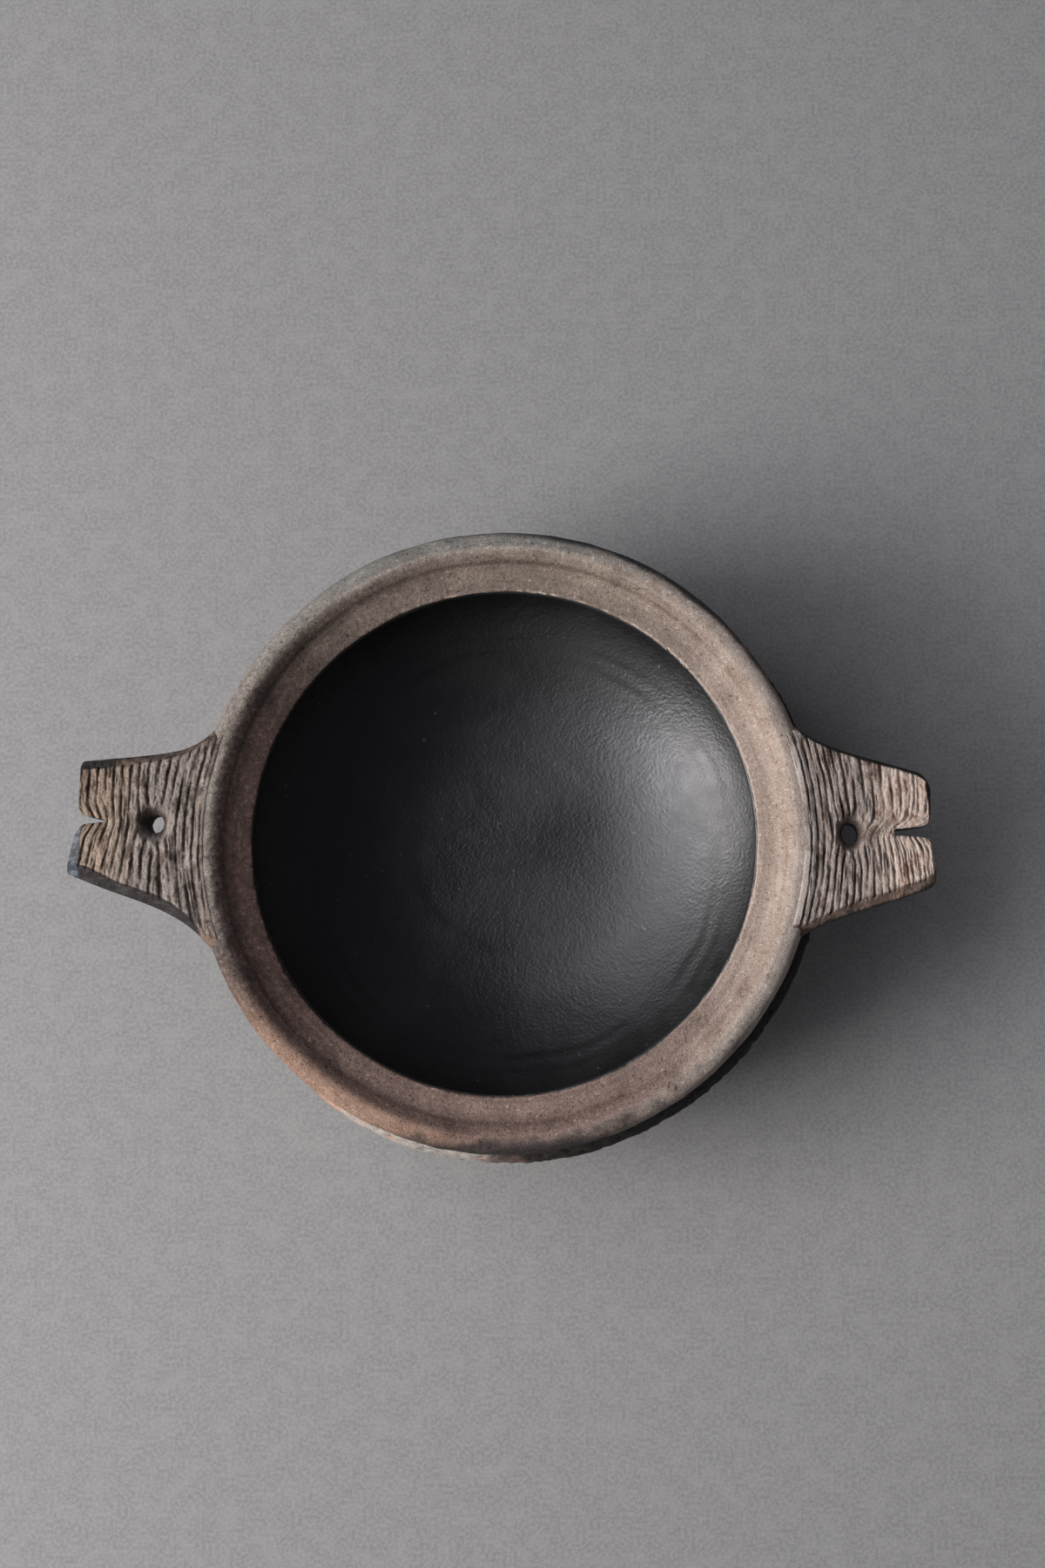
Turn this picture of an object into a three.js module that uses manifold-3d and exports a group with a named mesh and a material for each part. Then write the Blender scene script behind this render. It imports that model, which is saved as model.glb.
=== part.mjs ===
// A hand-built ceramic cooking pot: a round bowl, a thick rim with a seat for a lid,
// a black slip lining, and two combed lug handles, each pierced and split at its tip.
// Millimetres, +Z up. The origin is the middle of the underside, on the surface that the pot stands on.
// +X runs towards the right-hand lug, and +Y away from the cook.
import * as THREE from "three";
import { mergeVertices } from "three/addons/utils/BufferGeometryUtils.js";
import Module from "manifold-3d";

// Rim collar
const RIM_RADIUS = 120; // outside of the collar at its widest
const POT_HEIGHT = 100; // top of the lip
const LIP_WIDTH = 12; // from the outside of the rim in to the seat
const CREST_INSET = 7.5; // from the outside of the rim in to the top of the lip
const BULGE_DROP = 11.5; // from the top of the lip down to the widest point
const SEAT_WIDTH = 11; // flat ring that a lid rests on
const SEAT_DEPTH = 3.5; // how far the seat lies below the top of the lip
const SEAT_EDGE = 3.5; // thickness of the seat at its inner edge
const SKIRT = 2.5; // thickness of the collar's lower edge, which laps over the wall
const LAP = 11; // how far the collar laps down over the wall

// Bowl
const WALL = 9; // clay of the base and the wall
const BASE_RADIUS = 36; // flat part of the underside
const BELLY_SWELL = 5; // how far the belly stands out past the rim
const BELLY_HEIGHT = 58; // height of the widest point
const NECK_INSET = 10; // from the outside of the rim in to the outside of the wall's top edge
const NECK_DROP = 15; // from the top of the lip down to the wall's top edge
const NECK_LEAN = 38; // degrees that the wall's top leans inwards from upright
const DISH_ARC = 90; // the pressed base dish, measured along its outside from the middle to its edge
const SCARF = 5; // slant of the joint between the dish and the wall
const SLIP = 1; // coat of black slip on the inside

// Lug handles
const LUG_DROP = 1.5; // from the top of the lip down to the top of a lug
const LUG_ROOT_THICKNESS = 17;
const LUG_TIP_THICKNESS = 13;
const LUG_TIP_WIDTH = 42;
const LUG_WAIST_WIDTH = 61; // width that the flanks draw in to
const LUG_WAIST_OUT = 11; // how far outside the rim they do so
const LUG_BEVEL_WIDTH = 4;
const LUG_BEVEL_HEIGHT = 4.5;
const LUG_NOSE = 1.5; // rounding of the top face at the corners of the tip, inside the bevel
const BORE_RADIUS = 3.3; // pierced hole
const MOUTH_RADIUS = 5.8; // worn mouth of the hole
const MOUTH_DEPTH = 5;
const SLIT_MOUTH = 5; // width of the split at the tip
const SLIT_END = 1.8; // width of the split at its inner end
const GROOVE_PITCH = 2.8; // combed grooves
const GROOVE_DEPTH = 0.9;
const GROOVE_WIDTH = 1.3;
const COMBED_FROM = 2.5; // first groove, outside the rim
const COMBED_MARGIN = 2.5; // plain clay left at the tip

// The two lugs were shaped by hand, so they differ. Angles in degrees turn from +X towards +Y.
// A reach and a hole's place are measured outwards from the rim, and a slit inwards from the tip.
// The root widths are half widths at the rim: ahead on the side of rising angle, and behind on the other.
const RIGHT_ANGLE = 1;
const RIGHT_REACH = 45;
const RIGHT_HOLE_OUT = 12.5;
const RIGHT_SLIT_LENGTH = 15.9;
const RIGHT_ROOT_AHEAD = 43;
const RIGHT_ROOT_BEHIND = 38.5;
const LEFT_ANGLE = 176.9;
const LEFT_REACH = 50;
const LEFT_HOLE_OUT = 15.6;
const LEFT_SLIT_LENGTH = 15.1;
const LEFT_ROOT_AHEAD = 45;
const LEFT_ROOT_BEHIND = 38;

// Joints: the pieces are stuck together with wet slip, which fills this gap
const LUTING = 0.3;
const OVERRUN = 5; // how far a cut runs on past the clay that it goes through

// Form of the curves, as shares of the span that each one bridges
const FOOT_EASE = 0.33; // how long the underside stays flat
const BELLY_EASE = 0.55; // how full the lower belly is
const SHOULDER_EASE = 0.5; // how full the shoulder is
const LIP_EASE = 0.6; // how round the lip is

// Fineness of the mesh
const AROUND = 48; // facets around the pot
const DISH_STEPS = 8;
const WALL_STEPS = 11;
const LINING_STEPS = 14;
const LIP_STEPS = 4;
const LUG_STEPS = 6;
const BEVEL_STEPS = 2;
const HOLE_SIDES = 16;

// Colours of the fired clay, of the smoked clay outside the bowl, and of the slip
const BROWN_CLAY = { color: 0x97867a, roughness: 0.9, metalness: 0 };
const SMOKED_CLAY = { color: 0x5b514d, roughness: 0.92, metalness: 0 };
const BLACK_SLIP = { color: 0x26272a, roughness: 0.42, metalness: 0 };

const wasm = await Module();
wasm.setup();

const SEAT_HEIGHT = POT_HEIGHT - SEAT_DEPTH;
const SEAT_OUTER = RIM_RADIUS - LIP_WIDTH;
const SEAT_INNER = SEAT_OUTER - SEAT_WIDTH;
const LUG_TOP = POT_HEIGHT - LUG_DROP;

const RIGHT_LUG = {
  name: "right_lug",
  angle: THREE.MathUtils.degToRad(RIGHT_ANGLE),
  reach: RIGHT_REACH,
  hole_out: RIGHT_HOLE_OUT,
  slit: RIGHT_SLIT_LENGTH,
  root_ahead: RIGHT_ROOT_AHEAD,
  root_behind: RIGHT_ROOT_BEHIND,
};
const LEFT_LUG = {
  name: "left_lug",
  angle: THREE.MathUtils.degToRad(LEFT_ANGLE),
  reach: LEFT_REACH,
  hole_out: LEFT_HOLE_OUT,
  slit: LEFT_SLIT_LENGTH,
  root_ahead: LEFT_ROOT_AHEAD,
  root_behind: LEFT_ROOT_BEHIND,
};

// A point of the half section: distance from the pot's axis, and height
const at = (radius, height) => new THREE.Vector2(radius, height);

// Outside of the bowl, from the middle of the underside to the top edge of the wall
function bowlOutline() {
  const foot = at(BASE_RADIUS, 0);
  const widest = at(RIM_RADIUS + BELLY_SWELL, BELLY_HEIGHT);
  const neck = at(RIM_RADIUS - NECK_INSET, POT_HEIGHT - NECK_DROP);
  const lean = THREE.MathUtils.degToRad(NECK_LEAN);
  const rise = (neck.y - widest.y) * SHOULDER_EASE;
  const outline = new THREE.CurvePath();
  outline.add(new THREE.LineCurve(at(0, 0), foot));
  outline.add(
    new THREE.CubicBezierCurve(
      foot,
      at(foot.x + (widest.x - foot.x) * FOOT_EASE, 0),
      at(widest.x, widest.y * (1 - BELLY_EASE)),
      widest,
    ),
  );
  outline.add(
    new THREE.CubicBezierCurve(
      widest,
      at(widest.x, widest.y + rise),
      at(neck.x + rise * Math.sin(lean), neck.y - rise * Math.cos(lean)),
      neck,
    ),
  );
  return outline;
}

// A point of an outline, this far along it and this deep under its outer side
function under(outline, along, depth) {
  const share = along / outline.getLength();
  const tangent = outline.getTangent(share);
  return outline.getPoint(share).add(at(-tangent.y, tangent.x).multiplyScalar(depth));
}

// A row of such points from one place along the outline to another
function layer(outline, depth, from, to, steps) {
  return Array.from({ length: steps + 1 }, (_, i) => under(outline, from + ((to - from) * i) / steps, depth));
}

const bowl = bowlOutline();
const BOWL_ARC = bowl.getLength();

// Outside of the collar, from its lower edge on the wall up to the top of the lip
function collarOutline() {
  const hem = under(bowl, BOWL_ARC - LAP, -(LUTING + SKIRT));
  const widest = at(RIM_RADIUS, POT_HEIGHT - BULGE_DROP);
  const crest = at(RIM_RADIUS - CREST_INSET, POT_HEIGHT);
  const outline = new THREE.CurvePath();
  outline.add(new THREE.QuadraticBezierCurve(hem, at(widest.x, (hem.y + widest.y) / 2), widest));
  outline.add(
    new THREE.CubicBezierCurve(
      widest,
      at(widest.x, widest.y + BULGE_DROP * LIP_EASE),
      at(crest.x + CREST_INSET * LIP_EASE, crest.y),
      crest,
    ),
  );
  return outline;
}

const collar = collarOutline();
const COLLAR_ARC = collar.getLength();

// Top edge of the wall with the luting gap above it, this deep under the outside
function aboveWall(depth) {
  return under(bowl, BOWL_ARC, depth).add(bowl.getTangent(1).multiplyScalar(LUTING));
}

// Lower corner of the seat's inner edge, moved this far into the pot from the collar's underside
function seatToe(depth) {
  const toe = at(SEAT_INNER, SEAT_HEIGHT - SEAT_EDGE);
  const slope = toe.clone().sub(aboveWall(WALL)).normalize();
  return toe.add(at(-slope.y, slope.x).multiplyScalar(depth));
}

// A closed ring or bowl: a half section turned about the pot's axis
function turned(section, facets = AROUND) {
  const geometry = new THREE.LatheGeometry(section, facets);
  return geometry.rotateX(Math.PI / 2);
}

// A closed half section, for a ring that doesn't reach the axis
const closed = (points) => [...points, points[0].clone()];

// The base dish and the belly wall meet in a slanted joint, and the collar laps over the wall
function baseDish() {
  return turned([
    ...layer(bowl, 0, 0, DISH_ARC, DISH_STEPS),
    ...layer(bowl, WALL, DISH_ARC - SCARF, 0, DISH_STEPS),
  ]);
}

function bellyWall() {
  const gap = (LUTING * Math.hypot(WALL, SCARF)) / WALL;
  return turned(
    closed([
      ...layer(bowl, 0, DISH_ARC + gap, BOWL_ARC, WALL_STEPS),
      ...layer(bowl, WALL, BOWL_ARC, DISH_ARC - SCARF + gap, WALL_STEPS),
    ]),
  );
}

function rimCollar() {
  const crest = collar.getPoint(1);
  const heel = at(SEAT_OUTER, SEAT_HEIGHT);
  const dip = (crest.x - heel.x) * LIP_EASE;
  const inner = new THREE.CubicBezierCurve(crest, at(crest.x - dip, crest.y), at(heel.x + dip, heel.y), heel);
  return turned(
    closed([
      ...layer(collar, 0, 0, COLLAR_ARC, 2 * LIP_STEPS),
      ...inner.getPoints(LIP_STEPS).slice(1),
      at(SEAT_INNER, SEAT_HEIGHT),
      seatToe(0),
      aboveWall(WALL),
      aboveWall(-LUTING),
      ...layer(bowl, -LUTING, BOWL_ARC, BOWL_ARC - LAP, LIP_STEPS).slice(1),
    ]),
  );
}

// The slip coat covers the base, the wall and the underside of the seat
function slipLining() {
  return turned([
    ...layer(bowl, WALL + LUTING, 0, BOWL_ARC, LINING_STEPS),
    seatToe(LUTING),
    seatToe(LUTING + SLIP),
    ...layer(bowl, WALL + LUTING + SLIP, BOWL_ARC, 0, LINING_STEPS),
  ]);
}

// All that lies inside the pot's outside, grown by the luting gap, for seating the lugs
function potBlank() {
  return turned([
    at(0, under(bowl, DISH_ARC, 0).y),
    ...layer(bowl, -LUTING, DISH_ARC, BOWL_ARC - LAP - LUTING, WALL_STEPS),
    ...layer(collar, -LUTING, 0, COLLAR_ARC, 2 * LIP_STEPS),
    at(0, POT_HEIGHT + LUTING),
  ]);
}

// Plan of a lug: X runs out from the pot's axis along the lug, and Y across it
function lugPlan(lug) {
  const tip = RIM_RADIUS + lug.reach;
  const half = LUG_TIP_WIDTH / 2;
  const corner = (LUG_BEVEL_WIDTH + LUG_NOSE) * Math.SQRT2;
  const waist = at(RIM_RADIUS + LUG_WAIST_OUT, LUG_WAIST_WIDTH / 2);
  const root = (width) => at(Math.sqrt(RIM_RADIUS ** 2 - width ** 2), width);
  const ahead = root(lug.root_ahead);
  const behind = root(-lug.root_behind);
  const heel = SEAT_OUTER / RIM_RADIUS; // the plan runs on into the collar, and is cut to it later
  const plan = new THREE.Shape();
  plan.moveTo(behind.x * heel, behind.y * heel);
  plan.lineTo(behind.x, behind.y);
  plan.quadraticCurveTo(waist.x, -waist.y, tip - corner, -half);
  plan.quadraticCurveTo(tip, -half, tip, corner - half);
  plan.lineTo(tip, half - corner);
  plan.quadraticCurveTo(tip, half, tip - corner, half);
  plan.quadraticCurveTo(waist.x, waist.y, ahead.x, ahead.y);
  plan.lineTo(ahead.x * heel, ahead.y * heel);
  plan.closePath();
  return plan;
}

// A lug's slab, with bevelled edges and an underside that rises towards the tip
function lugSlab(lug) {
  const slab = new THREE.ExtrudeGeometry(lugPlan(lug), {
    depth: LUG_ROOT_THICKNESS - 2 * LUG_BEVEL_HEIGHT,
    bevelThickness: LUG_BEVEL_HEIGHT,
    bevelSize: LUG_BEVEL_WIDTH,
    bevelOffset: -LUG_BEVEL_WIDTH,
    bevelSegments: BEVEL_STEPS,
    curveSegments: LUG_STEPS,
  });
  slab.translate(0, 0, LUG_BEVEL_HEIGHT - LUG_ROOT_THICKNESS);
  const thinning = 1 - LUG_TIP_THICKNESS / LUG_ROOT_THICKNESS;
  const place = slab.getAttribute("position");
  for (let i = 0; i < place.count; i++) {
    const out = (place.getX(i) - RIM_RADIUS) / lug.reach;
    place.setZ(i, place.getZ(i) * (1 - thinning * out));
  }
  return slab.translate(0, 0, LUG_TOP);
}

// The pierced hole, with its worn mouth
function holeCutter(lug) {
  const below = LUG_TOP - LUG_ROOT_THICKNESS - OVERRUN;
  const above = LUG_TOP + OVERRUN;
  const flare = (MOUTH_RADIUS - BORE_RADIUS) / MOUTH_DEPTH;
  return turned(
    [
      at(0, below),
      at(BORE_RADIUS, below),
      at(BORE_RADIUS, LUG_TOP - MOUTH_DEPTH),
      at(MOUTH_RADIUS + flare * OVERRUN, above),
      at(0, above),
    ],
    HOLE_SIDES,
  ).translate(RIM_RADIUS + lug.hole_out, 0, 0);
}

// The split at the tip, a wedge that opens outwards
function slitCutter(lug) {
  const tip = RIM_RADIUS + lug.reach;
  const spread = (SLIT_MOUTH - SLIT_END) / lug.slit;
  const inner = SLIT_END / 2;
  const outer = (SLIT_MOUTH + spread * OVERRUN) / 2;
  const wedge = new THREE.Shape();
  wedge.moveTo(tip - lug.slit, -inner);
  wedge.lineTo(tip + OVERRUN, -outer);
  wedge.lineTo(tip + OVERRUN, outer);
  wedge.lineTo(tip - lug.slit, inner);
  wedge.closePath();
  const depth = LUG_ROOT_THICKNESS + 2 * OVERRUN;
  const cutter = new THREE.ExtrudeGeometry(wedge, { depth, bevelEnabled: false });
  return cutter.translate(0, 0, LUG_TOP + OVERRUN - depth);
}

// Combed grooves: rings of a V section about the pot's axis
function grooveCutters(lug) {
  const first = RIM_RADIUS + COMBED_FROM;
  const count = Math.floor((lug.reach - COMBED_FROM - COMBED_MARGIN) / GROOVE_PITCH) + 1;
  return Array.from({ length: count }, (_, i) => {
    const radius = first + i * GROOVE_PITCH;
    return turned(
      closed([
        at(radius, LUG_TOP - GROOVE_DEPTH),
        at(radius + GROOVE_WIDTH, LUG_TOP + GROOVE_DEPTH),
        at(radius - GROOVE_WIDTH, LUG_TOP + GROOVE_DEPTH),
      ]),
    );
  });
}

function solidOf(geometry) {
  const bare = geometry.clone();
  bare.deleteAttribute("normal");
  bare.deleteAttribute("uv");
  const merged = mergeVertices(bare, 1e-4);
  return new wasm.Manifold(
    new wasm.Mesh({
      numProp: 3,
      vertProperties: merged.getAttribute("position").array,
      triVerts: new Uint32Array(merged.index.array),
    }),
  );
}

function geometryOf(solid) {
  const mesh = solid.getMesh();
  const geometry = new THREE.BufferGeometry();
  geometry.setAttribute("position", new THREE.BufferAttribute(mesh.vertProperties, 3));
  geometry.setIndex(new THREE.BufferAttribute(mesh.triVerts, 1));
  geometry.computeVertexNormals();
  return geometry;
}

// A lug in its own frame, seated on the pot where it will be turned to
function lugHandle(lug) {
  const cutters = [potBlank().rotateZ(-lug.angle), holeCutter(lug), slitCutter(lug), ...grooveCutters(lug)];
  const cut = cutters.reduce((solid, cutter) => solid.subtract(solidOf(cutter)), solidOf(lugSlab(lug)));
  return geometryOf(cut);
}

function piece(name, geometry, finish) {
  const mesh = new THREE.Mesh(geometry, new THREE.MeshStandardMaterial(finish));
  mesh.name = name;
  return mesh;
}

const pot = new THREE.Group();
pot.add(piece("base_dish", baseDish(), SMOKED_CLAY));
pot.add(piece("belly_wall", bellyWall(), SMOKED_CLAY));
pot.add(piece("rim_collar", rimCollar(), BROWN_CLAY));
pot.add(piece("slip_lining", slipLining(), BLACK_SLIP));
for (const lug of [RIGHT_LUG, LEFT_LUG]) {
  const handle = piece(lug.name, lugHandle(lug), BROWN_CLAY);
  handle.rotation.z = lug.angle;
  pot.add(handle);
}

export default pot;
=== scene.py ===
# %% [markdown]
# # A smoke-fired cooking pot
# The real pot is built by hand from sandy clay: a pressed base, a wall, a thick rim with a seat for a lid,
# and two flat lugs that were combed with a toothed stick. Its inside was coated with slip and rubbed smooth,
# and the fire turned that coat black and clouded the outside.
# The construction comes from a frame of plain solids. This lesson dresses that frame: each step models one
# piece of clay as a fine mesh, or mixes one finish.

# %% Load the plain solids
import math
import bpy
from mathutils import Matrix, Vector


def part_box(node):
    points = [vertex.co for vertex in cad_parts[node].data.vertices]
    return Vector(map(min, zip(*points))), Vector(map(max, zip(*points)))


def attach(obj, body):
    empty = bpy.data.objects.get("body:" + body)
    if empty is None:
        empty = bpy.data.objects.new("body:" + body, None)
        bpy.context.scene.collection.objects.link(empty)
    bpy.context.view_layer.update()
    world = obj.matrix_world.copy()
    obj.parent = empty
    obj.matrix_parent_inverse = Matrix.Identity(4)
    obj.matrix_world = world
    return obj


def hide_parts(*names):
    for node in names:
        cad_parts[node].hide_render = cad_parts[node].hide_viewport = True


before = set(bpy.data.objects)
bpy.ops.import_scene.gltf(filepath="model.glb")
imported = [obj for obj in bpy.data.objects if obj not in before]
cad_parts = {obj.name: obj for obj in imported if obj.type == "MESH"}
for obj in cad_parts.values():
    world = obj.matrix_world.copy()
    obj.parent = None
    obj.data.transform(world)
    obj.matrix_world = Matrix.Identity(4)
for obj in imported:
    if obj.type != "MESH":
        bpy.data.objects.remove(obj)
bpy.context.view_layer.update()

from types import SimpleNamespace

import bmesh
import bpy
import numpy as np
from mathutils import Matrix, Vector, noise

MM = 0.001
print("solids:", ", ".join(sorted(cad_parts)))

# %% [markdown]
# ## Sizes
# The main sizes are read from the solids, so the dressed pot can't drift away from them. Sizes that only the
# finish needs are named where they are used. All shapes are worked out in millimetres, with the pot's axis
# as Z and the surface that it stands on as zero, and turned to metres when a mesh is made.

# %% Read the main sizes
def highest(node):
    """Highest corner of a solid's box, in millimetres."""
    return np.array(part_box(node)[1]) / MM


RIM = highest("rim_collar")[0]
TOP = highest("rim_collar")[2]
BELLY = highest("belly_wall")[1]
LUG_TOP = highest("right_lug")[2]
print(f"rim radius {RIM:.1f}, belly radius {BELLY:.1f}, height {TOP:.1f}, lug top {LUG_TOP:.1f} mm")

# %% [markdown]
# ## Camera
# The photograph looks almost straight down, from a little to the right and towards the cook's side. A 50 mm
# lens on a full-frame sensor fits the way the lug holes and the belly shift against the rim. A tracking
# constraint could aim the camera, but it has no clear up when it looks straight down. So the aim and the
# direction of the far side make the camera's matrix.

# %% Place the camera
EYE = Vector((54.9, -60.3, 926.8)) * MM
AIM = Vector((7.4, 22.2, 92.0)) * MM
FAR_SIDE = Vector((0, 1, 0))
LENS = 50.0

camera_data = bpy.data.cameras.new("camera")
camera_data.lens = LENS
camera = bpy.data.objects.new("camera", camera_data)
bpy.context.scene.collection.objects.link(camera)
forward = (AIM - EYE).normalized()
right = forward.cross(FAR_SIDE).normalized()
up = right.cross(forward)
camera.matrix_world = Matrix.Translation(EYE) @ Matrix((right, up, -forward)).transposed().to_4x4()
bpy.context.scene.camera = camera
print("camera looks down at", round(math.degrees(math.asin(-forward.z)), 1), "degrees")

# %% [markdown]
# ## Drawing half sections
# A pot is a half section turned about its axis, so most shapes here start as a path of (radius, height)
# points. Bezier curves draw the swelling lines, and the paths are then given evenly spaced points, because
# an even mesh takes surface detail best.

# %% Path helpers
def bezier(start, pull_start, pull_end, end, count=60):
    """Points on a cubic curve."""
    t = np.linspace(0, 1, count)[:, None]
    corners = [np.array(p, float) for p in (start, pull_start, pull_end, end)]
    weights = [(1 - t) ** 3, 3 * (1 - t) ** 2 * t, 3 * (1 - t) * t**2, t**3]
    return sum(w * p for w, p in zip(weights, corners))


def evenly(path, spacing):
    """The same path with its points this far apart."""
    path = np.array(path, float)
    along = np.concatenate([[0], np.cumsum(np.linalg.norm(np.diff(path, axis=0), axis=1))])
    places = np.linspace(0, along[-1], max(2, round(along[-1] / spacing) + 1))
    return np.column_stack([np.interp(places, along, path[:, i]) for i in range(2)])


def outward(path):
    """Unit normals on the right-hand side of a path, which is the outside of a section drawn upwards."""
    run = np.gradient(path, axis=0)
    run /= np.linalg.norm(run, axis=1, keepdims=True) + 1e-9
    return np.column_stack([run[:, 1], -run[:, 0]])


def softened(path, times):
    """The same path with its creases rounded: each point moves to its neighbours' middle, many times."""
    path = path.copy()
    for _ in range(times):
        path[1:-1] = (path[:-2] + path[1:-1] + path[2:]) / 3
    return path


print("a 10 mm line at 2.5 mm has", len(evenly(((0, 0), (10, 0)), 2.5)), "points")

# %% [markdown]
# ## Fading
# Hand work has no hard limits: a groove fades in, a smoke cloud fades out. Two curves do all of that here,
# one for a step and one for a bump, and a fan is the bump bent round the pot.

# %% Fade helpers
def ease(value, low, high):
    """0 at low, 1 at high, and a smooth step between them."""
    t = np.clip((value - low) / (high - low), 0, 1)
    return t * t * (3 - 2 * t)


def hump(value, middle, width):
    """1 at the middle, fading to nothing about two widths away."""
    return np.exp(-(((value - middle) / width) ** 2))


def fan(angle, middle, width):
    """1 at a middle direction round the pot, fading to nothing about two widths away, both in degrees."""
    return hump(np.degrees(np.angle(np.exp(1j * (angle - math.radians(middle))))), 0, width)


def fans(angle, parts):
    """Several fans added up, each with its middle and width in degrees and its most."""
    return sum(most * fan(angle, middle, width) for middle, width, most in parts)


print("a fan is at", round(float(fan(math.radians(30), 0, 30)), 2), "one width from its middle")

# %% [markdown]
# ## Turning and roughening
# Turning a section gives a grid of points, with rows along the section and columns around the pot. Clay
# worked by hand is never quite true, so heights are then added along the surface's normals. Blender's own
# noise gives smooth random heights from a point in space, and every run gives the same pot.

# %% Grid helpers
SEED_STEP = Vector((17.3, 5.1, 11.7))


def turned(section, count):
    """A half section turned about the pot's axis: its points, normals, radii, levels and angles."""
    angle = np.linspace(-np.pi, np.pi, count, endpoint=False)
    unit = np.stack([np.cos(angle), np.sin(angle)], axis=-1)[None]

    def sweep(pairs):
        flat = pairs[:, None, :1] * unit
        return np.concatenate([flat, np.broadcast_to(pairs[:, None, 1:], flat.shape[:2] + (1,))], axis=-1)

    points = sweep(section)
    radius = np.broadcast_to(section[:, :1], points.shape[:2])
    return SimpleNamespace(points=points, normals=sweep(outward(section)), unit=unit, radius=radius,
                           level=points[..., 2].copy(), angle=np.broadcast_to(angle, points.shape[:2]))


def grain(points, size, detail=2, seed=0):
    """Smooth random heights of about -1 to 1 at points, with bumps about this many millimetres across."""
    shift = SEED_STEP * seed
    flat = (points / size).reshape(-1, 3)
    heights = [noise.fractal(Vector(p) + shift, 1.0, 2.0, detail) for p in flat]
    return np.array(heights).reshape(points.shape[:-1])


print("a seed moves the noise by", round(SEED_STEP.length, 1), "bumps")

# %% [markdown]
# ## From grids to a mesh
# Each piece is one closed mesh. A grid's neighbours make its faces, and grids that meet along an edge are
# welded, so the shading runs on over the joint. Values such as how deep a point lies in a groove are stored
# on the points as attributes, called marks here, so that a finish can read them.

# %% Mesh helper
WELD = 1e-6


def clay_mesh(name, sheets, marks):
    """One mesh from sheets of (points in mm, rows_join, columns_join), with each mark's values per sheet."""
    places, faces, start = [], [], 0
    for points, rows_join, columns_join in sheets:
        index = np.arange(points.shape[0] * points.shape[1]).reshape(points.shape[:2]) + start
        start += index.size
        if rows_join:
            index = np.vstack([index, index[:1]])
        if columns_join:
            index = np.hstack([index, index[:, :1]])
        corners = [index[:-1, :-1], index[:-1, 1:], index[1:, 1:], index[1:, :-1]]
        faces.append(np.stack(corners, axis=-1).reshape(-1, 4))
        places.append(points.reshape(-1, 3) * MM)
    mesh = bpy.data.meshes.new(name)
    mesh.from_pydata(np.concatenate(places), [], np.concatenate(faces))
    for mark, values in marks.items():
        layer = mesh.attributes.new(mark, "FLOAT", "POINT")
        layer.data.foreach_set("value", np.concatenate([v.ravel() for v in values]).astype(np.float32))
    shape = bmesh.new()
    shape.from_mesh(mesh)
    bmesh.ops.remove_doubles(shape, verts=shape.verts, dist=WELD)
    bmesh.ops.recalc_face_normals(shape, faces=shape.faces)
    open_edges = sum(not edge.is_manifold for edge in shape.edges)
    shape.to_mesh(mesh)
    shape.free()
    mesh.polygons.foreach_set("use_smooth", np.ones(len(mesh.polygons), bool))
    piece = bpy.data.objects.new(name, mesh)
    bpy.context.scene.collection.objects.link(piece)
    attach(piece, "root")
    print(f"{name}: {len(mesh.polygons)} faces, {open_edges} open edges")
    return piece


# %% [markdown]
# ## Bowl
# The outside of the bowl shows below the rim: rough, scraped clay that was pressed in a mould and paddled
# out. It could be a turned solid with a displacement modifier, but a height on each point keeps the flat
# foot flat and the top edge where the rim sits. The base and the wall are one skin here, because a potter
# smears that joint away.

# %% Draw the bowl's section
FOOT = 36.0
BELLY_HEIGHT = 58.0
NECK = (RIM - 10.0, TOP - 15.0)
WALL = 9.0
ROUGH = 0.8
BOWL_STEP = 1.3
BOWL_BACK_STEP = 6.0

belly = BELLY - ROUGH
widest = (belly, BELLY_HEIGHT)
shoulder = (NECK[1] - BELLY_HEIGHT) / 2
swell_up = (belly, BELLY_HEIGHT + shoulder)
lean_in = (NECK[0] + 0.6 * shoulder, NECK[1] - 0.8 * shoulder)
outside = evenly(np.vstack([
    [(0, 0), (FOOT - 1, 0)],
    bezier((FOOT, 0), (FOOT + 0.33 * (belly - FOOT), 0), (belly, 0.45 * BELLY_HEIGHT), widest),
    bezier(widest, swell_up, lean_in, NECK)[1:],
]), BOWL_STEP)
inside = evenly(outside - WALL * outward(outside), BOWL_BACK_STEP)[::-1]
print("bowl section has", len(outside), "points outside and", len(inside), "inside")

# %% [markdown]
# The paddle left dents as wide as a finger, the scraper left short drags that lie flat, and grains that fell
# out left pits. The near side of the belly also swells a little and is sunk further left, as the photograph
# shows below the rim. Depth in a pit is stored as a mark, and so is the patch that air reached in the fire.

# %% Roughen the bowl
BOWL_COLUMNS = 600
PADDLE_DENT = 16.0
SCRAPE_DRAG = 4.0
SCRAPE_FLAT = (1, 1, 2.5)
PIT = 3.0
DEEPEST = -2.2
PROUDEST = 0.95
FOOT_EDGE = 6.0

bowl_grid = turned(np.vstack([outside, inside]), BOWL_COLUMNS)
is_outside = np.arange(len(bowl_grid.points))[:, None] < len(outside)
paddled = grain(bowl_grid.points, PADDLE_DENT, 2, seed=1)
scraped = grain(bowl_grid.points * SCRAPE_FLAT, SCRAPE_DRAG, 3, seed=2)
pitted = ease(grain(bowl_grid.points, PIT, 2, seed=3), 0.33, 0.65)
height = ROUGH * np.clip(0.6 * paddled + 0.9 * scraped - 1.3 * pitted, DEEPEST, PROUDEST)
height = height * is_outside * ease(bowl_grid.level, 0.0, FOOT_EDGE)
print(f"bowl's surface runs from {height.min():.1f} to {height.max():.1f} mm")

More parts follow.
